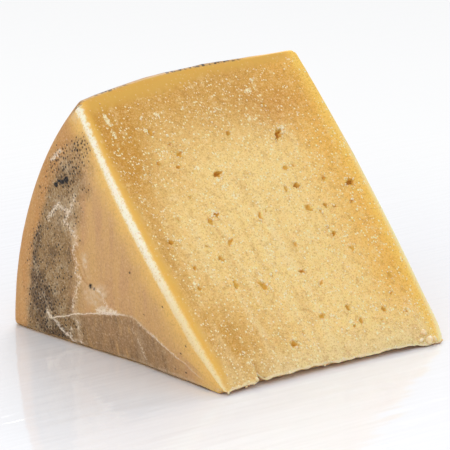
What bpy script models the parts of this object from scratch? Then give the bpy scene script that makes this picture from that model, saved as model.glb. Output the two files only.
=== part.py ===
"""A wedge of aged sheep cheese, cut from a small round wheel and laid on one of its two cut faces.

The wheel's axis lies along X. Its hub, where the two cuts meet, is the tip of the wedge and points
to -Y. The lower cut lies on the ground at Z = 0, and the upper cut slants up from the tip to the rim.
Sizes are in metres unless a name says MM.
"""

import math
import random

import bmesh
import bpy
from mathutils import Matrix, Vector, noise

MM = 0.001

# The wheel: two swollen flat faces, a crowned rim, a soft shoulder at -X and a tight one at +X.
WHEEL_RADIUS = 0.1100
WHEEL_WIDTH = 0.0892
FACE_SWELL = 0.0030
SWELL_RADIUS = 0.0620
CROWN_START = 0.0100
CROWN_DROP = 0.0055
SOFT_SHOULDER = 0.0032
TIGHT_SHOULDER = 0.0025
HUB_Y = -0.0553
TURN_STEPS = 180
FACE_STEPS = 9
RIM_STEPS = 10
SHOULDER_STEPS = 4
RIND_DENT = 0.0010
RIND_DENT_SIZE = 0.030

# The tuck: along the ground the face at -X leans in under a curved crease, as (Y from the hub, height).
# It rises evenly from the tip to its top, and from there bends down towards the rim.
CREASE_TOP = (0.0410, 0.0163)
CREASE_TIP = (0.0120, 0.0036)
CREASE_RIM = (0.0800, 0.0076)
CREASE_TIP_POWER = 1.0
CREASE_RIM_POWER = 1.4
TUCK_SLOPE = 0.24
TUCK_RISES = (-0.032, -0.024, -0.016, -0.012, -0.008, -0.004, 0.0, 0.004, 0.008)
TUCK_REACH = (-0.016, 0.128)
TUCK_COLUMNS = 18

# The upper cut: a knife's path, slightly wavy, with low drag lines near the tip and worn borders.
WEDGE_ANGLE = math.radians(48.0)
CUT_WAVE = 0.0005
CUT_WAVE_SIZE = 0.026
DRAG_DEPTH = 0.00018
DRAG_PITCH = 0.0085
DRAG_REACH = 0.060
BORDER_ROUND = 0.0016
CUT_COLUMNS = 13
CUT_ROWS = 30
BORDER_SHARES = (0.955, 0.972, 0.984, 0.993, 1.0, 1.02, 1.2)
BEYOND_HUB = -1.20
WASTE_DEPTH = 0.2500

# The tip: the thin edge at the hub has crumbled away from below along a ragged line, with one notch.
# The line is (X, how far from the hub the wedge leaves the ground), and it is nearly whole at +X.
# From there the break slopes up and forwards to the upper cut, whose edge hangs over it.
TIP_LINE_MM = ((-44, 3.3), (-24, 5.7), (-10, 6.1), (2, 5.0), (20, 4.2), (31, 3.1), (37, 1.6), (44, 1.2))
BREAK_SLOPE = math.radians(28.0)
TIP_RAGGED = 0.0005
TIP_RAGGED_SIZE = 0.0045
TIP_RAGGED_OCTAVES = 3
TIP_COLUMNS = 26
TIP_ROWS_MM = (-7, -6, -5, -4, -3, -2, -1, 0, 1)
NOTCH_X = -0.0303
NOTCH_WIDTH = 0.0011
NOTCH_DEPTH = 0.0026
TIP_CHIPS = 6
TIP_CHIP_SEED = 4
TIP_CHIP_RADIUS = 0.0024
TIP_CHIP_SHAPE = (1.8, 1.0, 0.5)
HOLLOW_X = 0.0270
HOLLOW_HALF = (0.0068, 0.0042, 0.0018)

# The eyes: small ragged holes that both cuts open. Each of these is (X, distance from the hub, radius),
# on the upper cut; those of the lower cut are placed by chance.
LARGE_EYES_MM = (
    (21.7, 80.9, 1.7), (21.9, 92.1, 0.9), (-25.1, 89.4, 1.1), (-18.5, 80.4, 1.2), (-27.6, 78.6, 0.8),
    (-21.2, 76.2, 0.9), (-8.2, 71.5, 1.5), (3.4, 84.5, 1.0), (17.8, 69.1, 1.2), (18.7, 62.4, 1.2),
    (14.2, 62.0, 0.9), (30.3, 62.9, 0.9), (39.4, 59.9, 1.5), (19.0, 54.1, 1.4), (25.4, 53.9, 0.9),
    (-19.6, 56.2, 1.2), (-16.5, 58.1, 1.1), (-0.7, 54.6, 1.1), (-37.4, 52.1, 1.0), (-16.4, 48.2, 1.2),
    (-22.7, 43.4, 1.1), (-33.7, 42.4, 0.8), (7.0, 43.0, 0.9), (23.2, 43.9, 1.0), (-22.1, 34.4, 1.3),
    (-35.6, 35.6, 0.9), (-12.2, 31.7, 1.5), (27.2, 37.7, 1.0), (4.4, 34.0, 0.9), (9.1, 28.7, 0.9),
    (36.2, 25.8, 1.1), (3.0, 18.0, 1.2), (14.2, 18.9, 1.1), (16.4, 13.7, 1.0), (27.2, 15.7, 1.0),
    (-11.9, 11.2, 1.4),
)
SMALL_EYES_MM = (
    (-20.2, 84.4, 0.6), (21.4, 69.5, 0.7), (22.6, 52.4, 0.6), (28.9, 52.9, 0.6), (36.0, 53.3, 0.7),
    (2.5, 56.2, 0.6), (-30.6, 59.1, 0.7), (-22.8, 65.5, 0.6), (-25.6, 48.5, 0.6), (22.3, 46.2, 0.5),
    (32.6, 46.6, 0.6), (-7.5, 35.0, 0.7), (13.2, 12.6, 0.6), (24.5, 12.6, 0.6), (35.2, 13.3, 0.7),
    (-6.7, 13.9, 0.6), (33.0, 20.4, 0.7),
)
HIDDEN_EYE_RADIUS_MM = (0.6, 1.5)
HIDDEN_EYES = 26
EYE_BORDER_MM = 9.0
EYE_SEED = 7
EYE_SINK = 0.25
EYE_STRETCH = (0.8, 1.35)
EYE_RAGGED = 0.16
EYE_GAP_MM = 1.0
EYE_FINE_FROM_MM = 1.15

CHEESE_COLOUR = (0.72, 0.48, 0.19, 1.0)
CHEESE_ROUGHNESS = 0.5


def remove_old_objects():
    """Empties the scene, so that only the cheese and its cutters are in it."""
    for old in list(bpy.data.objects):
        bpy.data.objects.remove(old, do_unlink=True)


def new_collection(name):
    """A collection linked to the scene."""
    collection = bpy.data.collections.new(name)
    bpy.context.scene.collection.children.link(collection)
    return collection


def new_object(name, shape, collection):
    """Turns a bmesh into a mesh object and frees the bmesh."""
    mesh = bpy.data.meshes.new(name)
    shape.to_mesh(mesh)
    shape.free()
    thing = bpy.data.objects.new(name, mesh)
    collection.objects.link(thing)
    return thing


def face_x(radius):
    """Distance of the wheel's flat faces from its middle plane: a parabola that peaks at SWELL_RADIUS."""
    away = (radius - SWELL_RADIUS) / SWELL_RADIUS
    return WHEEL_WIDTH / 2 + FACE_SWELL * (1 - away * away)


def rim_radius(x):
    """Radius of the rim: level at +X, and falling in a parabola towards the soft shoulder at -X."""
    away = max(0.0, CROWN_START - x) / (CROWN_START + WHEEL_WIDTH / 2)
    return WHEEL_RADIUS - CROWN_DROP * away * away


def shoulder(side, corner):
    """The rounded corner between a flat face and the rim, from the face to the rim, as (X, radius)."""
    centre_r = WHEEL_RADIUS - corner
    centre_x = side * (face_x(centre_r) - corner)
    centre_r = rim_radius(centre_x) - corner
    points = []
    for step in range(SHOULDER_STEPS + 1):
        turn = math.pi / 2 * step / SHOULDER_STEPS
        points.append((centre_x + side * corner * math.cos(turn), centre_r + corner * math.sin(turn)))
    return points


def flat_face(side, corner_start):
    """One flat face from the hub out to its shoulder, as (X, radius), without the last point."""
    reach = corner_start[1]
    radii = [reach * step / FACE_STEPS for step in range(FACE_STEPS)]
    return [(side * face_x(radius), radius) for radius in radii]


def wheel_section():
    """The wheel's half section, from the hub at +X round the rim to the hub at -X, as (X, radius)."""
    tight = shoulder(1, TIGHT_SHOULDER)
    soft = shoulder(-1, SOFT_SHOULDER)
    rim = []
    for step in range(1, RIM_STEPS):
        x = tight[-1][0] + (soft[-1][0] - tight[-1][0]) * step / RIM_STEPS
        rim.append((x, rim_radius(x)))
    right = flat_face(1, tight[0]) + tight
    left = flat_face(-1, soft[0]) + soft
    return right + rim + left[::-1]


def turned_wheel(collection):
    """The whole wheel: its section turned about the axis, with low dents in the rind."""
    shape = bmesh.new()
    corners = [shape.verts.new((radius, 0, x)) for x, radius in wheel_section()]
    for start, end in zip(corners, corners[1:]):
        shape.edges.new((start, end))
    wheel = new_object("cheese_wedge", shape, collection)
    wheel.location = (0, HUB_Y, 0)
    wheel.rotation_euler = (0, math.pi / 2, 0)
    turn = wheel.modifiers.new("turn", "SCREW")
    turn.axis = "Z"
    turn.steps = TURN_STEPS
    turn.render_steps = TURN_STEPS
    turn.use_merge_vertices = True
    turn.merge_threshold = 0.00001
    dents = wheel.modifiers.new("dents", "DISPLACE")
    dents.texture = bpy.data.textures.new("dents", "CLOUDS")
    dents.texture.noise_scale = RIND_DENT_SIZE
    dents.strength = RIND_DENT
    return wheel


def round_off(inside):
    """How far a worn border has dropped, at a distance inside the border: a quarter circle."""
    away = BORDER_ROUND - min(max(inside, 0.0), BORDER_ROUND)
    return BORDER_ROUND - math.sqrt(BORDER_ROUND ** 2 - away ** 2)


def cut_height(x, reach):
    """Height of the upper cut over a flat knife plane: noise waves, drag lines and worn borders."""
    wave = CUT_WAVE * noise.noise(Vector((x, reach, 0)) / CUT_WAVE_SIZE)
    drag = DRAG_DEPTH * math.sin(math.tau * x / DRAG_PITCH) * max(0.0, 1 - reach / DRAG_REACH)
    sides = round_off(face_x(reach) - abs(x))
    rim = round_off(rim_radius(x) - reach)
    return wave + drag - sides - rim


def border_steps(steps):
    """Shares of a width from 0 to past 1, evenly spaced up to close steps at the border."""
    even = [BORDER_SHARES[0] * step / steps for step in range(steps)]
    return even + list(BORDER_SHARES)


def waste(name, columns, rows, surface, placement, collection):
    """The stock that a cut takes away: a rough sheet, from surface(column, row), pulled up to a block."""
    shape = bmesh.new()
    bmesh.ops.create_grid(shape, x_segments=len(columns) - 1, y_segments=len(rows) - 1, size=1)
    for corner in shape.verts:
        column = round((corner.co.x + 1) / 2 * (len(columns) - 1))
        row = round((corner.co.y + 1) / 2 * (len(rows) - 1))
        corner.co = surface(columns[column], rows[row])
    pulled = bmesh.ops.extrude_face_region(shape, geom=shape.faces[:])["geom"]
    for corner in pulled:
        if isinstance(corner, bmesh.types.BMVert):
            corner.co.z = WASTE_DEPTH
    bmesh.ops.recalc_face_normals(shape, faces=shape.faces[:])
    shape.transform(placement)
    return new_object(name, shape, collection)


def upper_cut_placement():
    """Local X runs across, local Y from the hub to the rim, and local Z out of the upper cut."""
    return Matrix.Translation((0, HUB_Y, 0)) @ Matrix.Rotation(WEDGE_ANGLE, 4, "X")


def upper_cut(collection):
    """What the knife takes off above the wedge."""
    side = border_steps(CUT_COLUMNS)
    columns = [-share for share in side[:0:-1]] + side
    rows = [BEYOND_HUB] + border_steps(CUT_ROWS)

    def surface(column, row):
        reach = row * rim_radius(column * WHEEL_WIDTH / 2)
        x = column * face_x(max(reach, 0.0))
        return x, reach, cut_height(x, reach)

    return waste("waste_above", columns, rows, surface, upper_cut_placement(), collection)


def crease_height(y):
    """Height of the crease at a distance from the hub: it falls from its top by a power on each side."""
    end, power = (CREASE_TIP, CREASE_TIP_POWER) if y < CREASE_TOP[0] else (CREASE_RIM, CREASE_RIM_POWER)
    away = (y - CREASE_TOP[0]) / (end[0] - CREASE_TOP[0])
    return CREASE_TOP[1] - (CREASE_TOP[1] - end[1]) * away ** power


def tucked_face(collection):
    """What the face at -X lacks under its crease: a sheet that leans in below it and out above it."""
    near, far = TUCK_REACH
    distances = [near + (far - near) * step / TUCK_COLUMNS for step in range(TUCK_COLUMNS + 1)]
    placement = Matrix.Translation((0, HUB_Y, 0)) @ Matrix.Rotation(-math.pi / 2, 4, "Y")

    def surface(rise, y):
        z = crease_height(y) + rise
        return z, y, face_x(math.hypot(y, z)) + TUCK_SLOPE * rise

    return waste("waste_at_tuck", TUCK_RISES, distances, surface, placement, collection)


def tip_loss(x):
    """How far from the hub the wedge leaves the ground at X: straight runs between the line's corners."""
    x_mm = min(max(x / MM, TIP_LINE_MM[0][0]), TIP_LINE_MM[-1][0])
    for (start, loss), (end, next_loss) in zip(TIP_LINE_MM, TIP_LINE_MM[1:]):
        if x_mm <= end:
            break
    return (loss + (next_loss - loss) * (x_mm - start) / (end - start)) * MM


def tip_depth(x, across):
    """How deep the sheet behind the tip lies: the line, ragged in noise, with one notch."""
    place = Vector((x, across, 0)) / TIP_RAGGED_SIZE
    ragged = TIP_RAGGED * noise.turbulence(place, TIP_RAGGED_OCTAVES, False)
    notch = NOTCH_DEPTH * math.exp(-((x - NOTCH_X) / NOTCH_WIDTH) ** 2)
    return tip_loss(x) * math.sin(BREAK_SLOPE) + ragged + notch


def broken_tip(collection):
    """What has crumbled off the tip: a ragged sheet that slopes up and forwards, pulled to the front."""
    half = WHEEL_WIDTH / 2 + FACE_SWELL
    near = [half * step / (TIP_COLUMNS - 2) for step in range(-TIP_COLUMNS, TIP_COLUMNS + 1)]
    columns = [-2 * half] + near + [2 * half]
    rows = [-WASTE_DEPTH] + [row * MM for row in TIP_ROWS_MM] + [WASTE_DEPTH]
    placement = Matrix.Translation((0, HUB_Y, 0)) @ Matrix.Rotation(math.pi - BREAK_SLOPE, 4, "X")

    def surface(x, across):
        return x, across, -tip_depth(x, across)

    return waste("waste_at_tip", columns, rows, surface, placement, collection)


def lower_cut(collection):
    """What lies under the lower cut, which is flat, because the wedge rests on it."""
    shape = bmesh.new()
    below = Matrix.Translation((0, 0, -WASTE_DEPTH))
    bmesh.ops.create_cube(shape, size=2 * WASTE_DEPTH, matrix=below)
    return new_object("waste_below", shape, collection)


def add_eye(shape, placement, radius, draw):
    """One ragged hole: an icosphere, stretched and turned by chance, and sunk under the cut."""
    stretch = draw.uniform(*EYE_STRETCH)
    size = Matrix.Diagonal((radius * stretch, radius / stretch, radius, 1.0))
    turn = Matrix.Rotation(draw.uniform(0, math.pi), 4, "Z")
    sink = Matrix.Translation((0, 0, -EYE_SINK * radius))
    fine = 2 if radius >= EYE_FINE_FROM_MM * MM else 1
    hole = bmesh.ops.create_icosphere(shape, subdivisions=fine, radius=1.0)
    for corner in hole["verts"]:
        corner.co *= 1 + EYE_RAGGED * draw.uniform(-1, 1)
        corner.co = placement @ sink @ turn @ size @ corner.co


def clear_of(places, x, reach, radius):
    """Whether an eye at this place keeps its gap to all the others."""
    for other_x, other_reach, other_radius in places:
        if math.hypot(x - other_x, reach - other_reach) < radius + other_radius + EYE_GAP_MM:
            return False
    return True


def scatter_eyes(count, radii, draw):
    """So many eyes placed by chance, clear of each other and of the cut's borders."""
    places = []
    half = WHEEL_WIDTH / 2 / MM - EYE_BORDER_MM
    last_reach = WHEEL_RADIUS / MM - 2 * EYE_BORDER_MM
    while len(places) < count:
        place = (draw.uniform(-half, half), draw.uniform(2 * EYE_BORDER_MM, last_reach), draw.uniform(*radii))
        if clear_of(places, *place):
            places.append(place)
    return places


def eyes(collection):
    """All the eyes of both cuts, as one cutter of many separate holes."""
    draw = random.Random(EYE_SEED)
    lower = scatter_eyes(HIDDEN_EYES, HIDDEN_EYE_RADIUS_MM, draw)
    shape = bmesh.new()
    for x, reach, radius in LARGE_EYES_MM + SMALL_EYES_MM:
        place = Vector((x, reach, cut_height(x * MM, reach * MM) / MM)) * MM
        add_eye(shape, upper_cut_placement() @ Matrix.Translation(place), radius * MM, draw)
    for x, reach, radius in lower:
        under = Matrix.Translation((x * MM, HUB_Y + reach * MM, 0)) @ Matrix.Rotation(math.pi, 4, "X")
        add_eye(shape, under, radius * MM, draw)
    return new_object("eyes", shape, collection)


def add_chip(shape, x, half_sizes, draw):
    """One crumb lost from under the tip at X: a flat ragged lump with these half sizes."""
    place = Matrix.Translation((x, HUB_Y + tip_loss(x) + draw.uniform(0.2, 0.4) * half_sizes[1], 0))
    size = Matrix.Diagonal((*half_sizes, 1.0))
    lump = bmesh.ops.create_icosphere(shape, subdivisions=2, radius=1.0)
    for corner in lump["verts"]:
        corner.co *= 1 + EYE_RAGGED * draw.uniform(-1, 1)
        corner.co = place @ size @ corner.co


def tip_chips(collection):
    """Crumbs lost from under the tip, spaced along it up to one long hollow near +X, as one cutter."""
    draw = random.Random(TIP_CHIP_SEED)
    shape = bmesh.new()
    start = -WHEEL_WIDTH / 2
    pitch = (HOLLOW_X - HOLLOW_HALF[0] - start) / TIP_CHIPS
    for chip in range(TIP_CHIPS):
        x = start + pitch * (chip + 0.5) + draw.uniform(-0.1, 0.1) * pitch
        radius = TIP_CHIP_RADIUS * draw.uniform(0.6, 1.1)
        add_chip(shape, x, [radius * share for share in TIP_CHIP_SHAPE], draw)
    add_chip(shape, HOLLOW_X, HOLLOW_HALF, draw)
    return new_object("tip_chips", shape, collection)


def cut_away(body, cutter):
    """Takes a cutter's space out of the body."""
    cutter.hide_render = True
    cutter.display_type = "WIRE"
    cut = body.modifiers.new(cutter.name, "BOOLEAN")
    cut.operation = "DIFFERENCE"
    cut.object = cutter


def cheese_material():
    """Pale golden paste, half dull."""
    material = bpy.data.materials.new("cheese")
    material.use_nodes = True
    surface = material.node_tree.nodes["Principled BSDF"]
    surface.inputs["Base Color"].default_value = CHEESE_COLOUR
    surface.inputs["Roughness"].default_value = CHEESE_ROUGHNESS
    surface.inputs["Metallic"].default_value = 0.0
    material.diffuse_color = CHEESE_COLOUR
    return material


def build():
    """Turns the wheel, then cuts the wedge and its eyes out of it."""
    remove_old_objects()
    cheese = new_collection("aged_sheep_cheese_wedge")
    cutters = new_collection("cutters")
    wedge = turned_wheel(cheese)
    wedge.data.materials.append(cheese_material())
    for make_cutter in (lower_cut, upper_cut, tucked_face, eyes, broken_tip, tip_chips):
        cut_away(wedge, make_cutter(cutters))


build()
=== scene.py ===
"""Dresses a wedge of aged sheep cheese: the cut paste with its eyes, the rind, the crumbs and the setting.

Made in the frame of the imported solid: the wheel's axis along X, the thin tip to -Y, the rim to +Y and
the lower cut on the ground. Lengths are in millimetres until a mesh is written in metres.
"""

import random

import bmesh
import bpy
import numpy as np
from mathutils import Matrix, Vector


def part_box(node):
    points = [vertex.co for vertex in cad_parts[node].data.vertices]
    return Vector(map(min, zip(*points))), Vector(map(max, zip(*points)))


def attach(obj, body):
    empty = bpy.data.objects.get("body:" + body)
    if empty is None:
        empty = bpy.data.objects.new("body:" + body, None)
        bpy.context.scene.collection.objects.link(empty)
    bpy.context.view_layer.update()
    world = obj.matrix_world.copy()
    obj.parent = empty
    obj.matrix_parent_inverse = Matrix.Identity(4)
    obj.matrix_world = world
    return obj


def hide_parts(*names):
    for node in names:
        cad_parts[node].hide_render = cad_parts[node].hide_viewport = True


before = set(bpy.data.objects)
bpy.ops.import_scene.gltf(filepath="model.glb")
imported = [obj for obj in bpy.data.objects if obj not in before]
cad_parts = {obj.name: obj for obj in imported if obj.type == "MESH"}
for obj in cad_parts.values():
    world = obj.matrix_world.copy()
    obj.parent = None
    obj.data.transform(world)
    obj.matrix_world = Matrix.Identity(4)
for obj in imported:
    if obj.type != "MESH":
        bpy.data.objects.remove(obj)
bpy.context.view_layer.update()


# ---- The wedge ---------------------------------------------------------------------------------------
# A piece of a small pressed wheel of hard sheep's milk cheese: pale grainy paste inside a thin dry rind
# that kept the marks of its cloth. It was cut twice by a knife through the hub, and it lies on one cut.

MM = 0.001
WHEEL_RADIUS = 110.0
WHEEL_HALF = 44.6
FACE_SWELL = 3.0
SWELL_RADIUS = 62.0
CROWN_START = 10.0
CROWN_DROP = 5.5
SOFT_SHOULDER = 3.2
TIGHT_SHOULDER = 2.5
WEDGE_ANGLE = np.radians(48.0)
ARC = WHEEL_RADIUS * WEDGE_ANGLE
WORN_BORDER = 1.6
TIP_LOSS = 2.9
HUB_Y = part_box("cheese_wedge")[1][1] / MM - WHEEL_RADIUS
CUT_NORMAL = np.array((0.0, -np.sin(WEDGE_ANGLE), np.cos(WEDGE_ANGLE)))

CELL = 1.3
BORDER_CELL = 0.45
BORDER_BAND = 2.7
ON_PLANE = 1e-4


def smooth_step(low, high, value):
    """0 below low, 1 above high, and the cubic 3t^2 - 2t^3 between them."""
    share = np.clip((value - low) / (high - low), 0.0, 1.0)
    return share * share * (3.0 - 2.0 * share)


def lattice_noise(places, size, seed=0):
    """Smooth noise from about -1 to 1: chance slopes on a lattice of that size, blended by quintic steps."""
    places = places / size
    cell = np.floor(places).astype(np.int64)
    inside = places - cell
    blend = inside ** 3 * (inside * (inside * 6 - 15) + 10)
    total = np.zeros(len(places))
    for corner in np.ndindex(2, 2, 2):
        key = (cell + np.array(corner) + 31 * seed) @ np.array((73856093, 19349663, 83492791))
        key = (key ^ (key >> 13)) * 1274126177
        key = key ^ (key >> 16)
        slope = np.stack([(key >> shift & 1023) / 511.5 - 1 for shift in (3, 15, 27)], axis=1)
        weight = np.prod(np.where(corner, blend, 1 - blend), axis=1)
        total += weight * np.sum(slope * (inside - corner), axis=1)
    return 1.4 * total


def layered_noise(places, size, layers, seed=0):
    """Noise on noise: each layer has half the size and about half the height of the one before."""
    total = np.zeros(len(places))
    for layer in range(layers):
        total += lattice_noise(places, size * 0.5 ** layer, seed + layer) * 0.55 ** layer
    return total


def face_x(radius):
    """Half width of the wheel at a radius: a parabola that peaks where its flat faces swell most."""
    return WHEEL_HALF + FACE_SWELL * (1 - ((radius - SWELL_RADIUS) / SWELL_RADIUS) ** 2)


def rim_radius(x):
    """Radius of the rim: level at +X, and falling in a parabola towards the soft shoulder at -X."""
    return WHEEL_RADIUS - CROWN_DROP * (np.maximum(0.0, CROWN_START - x) / (CROWN_START + WHEEL_HALF)) ** 2


def grid_lines(low, high):
    """Grid lines from low to high: close together within a band at each end and wider between."""
    fine = int(np.ceil(BORDER_BAND / BORDER_CELL))
    wide = int(np.ceil((high - low - 2 * BORDER_BAND) / CELL))
    start = np.linspace(low, low + BORDER_BAND, fine, endpoint=False)
    middle = np.linspace(low + BORDER_BAND, high - BORDER_BAND, wide, endpoint=False)
    return np.concatenate((start, middle, np.linspace(high - BORDER_BAND, high, fine + 1)))


def box_skin(lines):
    """The closed skin of a box, as corners and outward quads on a grid over each of its six sides."""
    counts = [len(line) for line in lines]
    quads = []
    for axis in range(3):
        first, second = (axis + 1) % 3, (axis + 2) % 3
        spans = np.meshgrid(np.arange(counts[first] - 1), np.arange(counts[second] - 1), indexing="ij")
        for side in (0, counts[axis] - 1):
            ring = []
            for step_one, step_two in ((0, 0), (1, 0), (1, 1), (0, 1)):
                place = [None, None, None]
                place[axis] = np.full(spans[0].size, side)
                place[first] = spans[0].ravel() + step_one
                place[second] = spans[1].ravel() + step_two
                ring.append(np.ravel_multi_index(place, counts))
            quads.append(np.stack(ring if side else ring[::-1], axis=1))
    used, quads = np.unique(np.concatenate(quads), return_inverse=True)
    places = np.unravel_index(used, counts)
    corners = np.stack([line[place] for line, place in zip(lines, places)], axis=1)
    return corners, quads.reshape(-1, 4)


# The thin edge at the hub crumbled away along a ragged line, as (X, how far from the hub the wedge leaves
# the ground). Its end at +X is worn. At -X the rind leans in under a curved crease, as (Y from the hub, Z).
TIP_LINE = ((-44, 2.9), (-24, 5.3), (-10, 5.7), (2, 4.6), (20, 3.8), (31, 2.6), (37, 1.0), (44, 0.6))
BREAK_SLOPE = np.radians(28.0)
BREAK_BACK = 0.4
BREAK_LIP = 0.25
TIP_RAGGED = 0.55
TIP_RAGGED_SIZE = 3.2
TIP_FADE = 6.0
LEAST_REACH = 0.3
NOTCH_X = -30.3
NOTCH_HALF = 1.0
NOTCH_DEPTH = 2.6
HOLLOW_X = 27.0
HOLLOW_HALF = 6.4
HOLLOW_REACH = 5.0
HOLLOW_HEIGHT = 1.7
TIP_WORN = 1.6
TIP_WORN_REACH = 5.0
CREASE_TOP = (41.0, 16.3)
CREASE_TIP = (12.0, 3.6)
CREASE_RIM = (80.0, 7.6)
CREASE_RIM_POWER = 1.4
CREASE_ROUNDING = 0.7
TUCK_SLOPE = 0.24
TUCK_SOFTNESS = 1.2


def crease_height(y):
    """Height of the crease over the ground: straight tipward, curved rimward, joined softly."""
    tip_slope = (CREASE_TOP[1] - CREASE_TIP[1]) / (CREASE_TOP[0] - CREASE_TIP[0])
    tipward = CREASE_TOP[1] + tip_slope * (y - CREASE_TOP[0])
    share = np.maximum(y - CREASE_TOP[0], 0.0) / (CREASE_RIM[0] - CREASE_TOP[0])
    rimward = CREASE_TOP[1] - (CREASE_TOP[1] - CREASE_RIM[1]) * share ** CREASE_RIM_POWER
    return -CREASE_ROUNDING * np.logaddexp(-tipward / CREASE_ROUNDING, -rimward / CREASE_ROUNDING)


def round_borders(box):
    """Pulls each corner onto a ball of the border's radius round the nearest point of a smaller box."""
    low = np.array((-WHEEL_HALF, TIP_LOSS, 0.0)) + WORN_BORDER
    high = np.array((WHEEL_HALF, WHEEL_RADIUS, ARC)) - WORN_BORDER
    core = np.clip(box, low, high)
    out = box - core
    return core + out * WORN_BORDER / np.linalg.norm(out, axis=1, keepdims=True)


def round_shoulder(across, reach, side, corner):
    """Turns the square corner between a flat face and the rim into a quarter disc."""
    over = np.maximum(side * across - (WHEEL_HALF - corner), 0.0)
    out = np.maximum(reach - (WHEEL_RADIUS - corner), 0.0)
    both = (over > 0) & (out > 0)
    scale = np.where(both, np.maximum(over, out) / np.maximum(np.hypot(over, out), 1e-9), 1.0)
    across = np.where(both, side * (WHEEL_HALF - corner + over * scale), across)
    reach = np.where(both, WHEEL_RADIUS - corner + out * scale, reach)
    return across, reach


def break_reach(x, angle):
    """Distance of the broken tip from the hub, at an angle above the ground.

    The break starts where the wedge leaves the ground and slopes up and forwards to the upper cut. A lip
    under the upper cut hangs over it, and one notch goes deeper."""
    ground = np.interp(x, *np.transpose(TIP_LINE))
    ragged = layered_noise(np.stack((x, 0 * x + 6.0 * angle, 0 * x), axis=1), TIP_RAGGED_SIZE, 3, seed=5)
    notch = NOTCH_DEPTH * np.exp(-((x - NOTCH_X + 0.4 * ragged) / NOTCH_HALF) ** 2)
    lip = BREAK_LIP * np.exp(-((angle - 0.72 * WEDGE_ANGLE) / (0.2 * WEDGE_ANGLE)) ** 2)
    depth = ground * np.sin(BREAK_SLOPE) + BREAK_BACK + notch - lip + TIP_RAGGED * ragged
    return np.maximum(depth / np.sin(angle + BREAK_SLOPE), LEAST_REACH)


def wedge_places(box):
    """Box places, as (across, out from the hub, round from the lower cut), carried into the wedge.

    The box swells with face_x and rim_radius. A place's distance round is kept in millimetres near both
    cuts and spread between them, and then turned into an angle about the hub."""
    across, reach, turn = round_borders(box).T
    across, reach = round_shoulder(across, reach, -1, SOFT_SHOULDER)
    across, reach = round_shoulder(across, reach, 1, TIGHT_SHOULDER)
    x = across / WHEEL_HALF * face_x(reach)
    r = reach / WHEEL_RADIUS * rim_radius(x)
    full = r * WEDGE_ANGLE
    near = np.minimum(1.0, full / (6.0 * BORDER_BAND))
    low_part = near * turn
    high_part = full - near * (ARC - turn)
    mid_share = (turn - BORDER_BAND) / (ARC - 2 * BORDER_BAND)
    mid_part = near * BORDER_BAND + mid_share * (full - 2 * near * BORDER_BAND)
    arc = np.where(turn < BORDER_BAND, low_part, np.where(turn > ARC - BORDER_BAND, high_part, mid_part))
    angle = arc / r
    r = r + (break_reach(x, angle) - TIP_LOSS) * np.exp(-(reach - TIP_LOSS) / TIP_FADE)
    y = r * np.cos(angle)
    z = r * np.sin(angle)
    under = crease_height(y) - z
    tuck = TUCK_SLOPE * TUCK_SOFTNESS * np.logaddexp(0.0, under / TUCK_SOFTNESS)
    x = x + tuck * smooth_step(0.4, 1.0, -across / WHEEL_HALF) * smooth_step(1.0, 6.0, r)
    hollow = HOLLOW_HEIGHT * np.exp(-((x - HOLLOW_X) / HOLLOW_HALF) ** 4)
    hollow += 0.10 + 0.15 * lattice_noise(np.stack((x, 0 * x, 0 * x), axis=1), 3.0, seed=9)
    z = z + hollow * (1 - angle / WEDGE_ANGLE) * np.exp(-((r - 3.0) / HOLLOW_REACH) ** 2)
    x = x - TIP_WORN * smooth_step(0.6, 1.0, across / WHEEL_HALF) * np.exp(-(r / TIP_WORN_REACH) ** 2)
    return np.stack((x, y + HUB_Y, z), axis=1)


def read_places(mesh, what="vertices", name="co"):
    """One vector for each vertex, normal or polygon of a mesh, as an array."""
    layer = getattr(mesh, what)
    flat = np.empty(3 * len(layer))
    layer.foreach_get(name, flat)
    return flat.reshape(-1, 3)


def refine(mesh, picked):
    """Cuts the edges of the picked faces in two, and joins their neighbours to the new corners."""
    mesh.polygons.foreach_set("select", picked)
    shape = bmesh.new()
    shape.from_mesh(mesh)
    edges = list({edge for face in shape.faces if face.select for edge in face.edges})
    bmesh.ops.subdivide_edges(shape, edges=edges, cuts=1, use_grid_fill=True)
    shape.to_mesh(mesh)
    shape.free()


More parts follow.
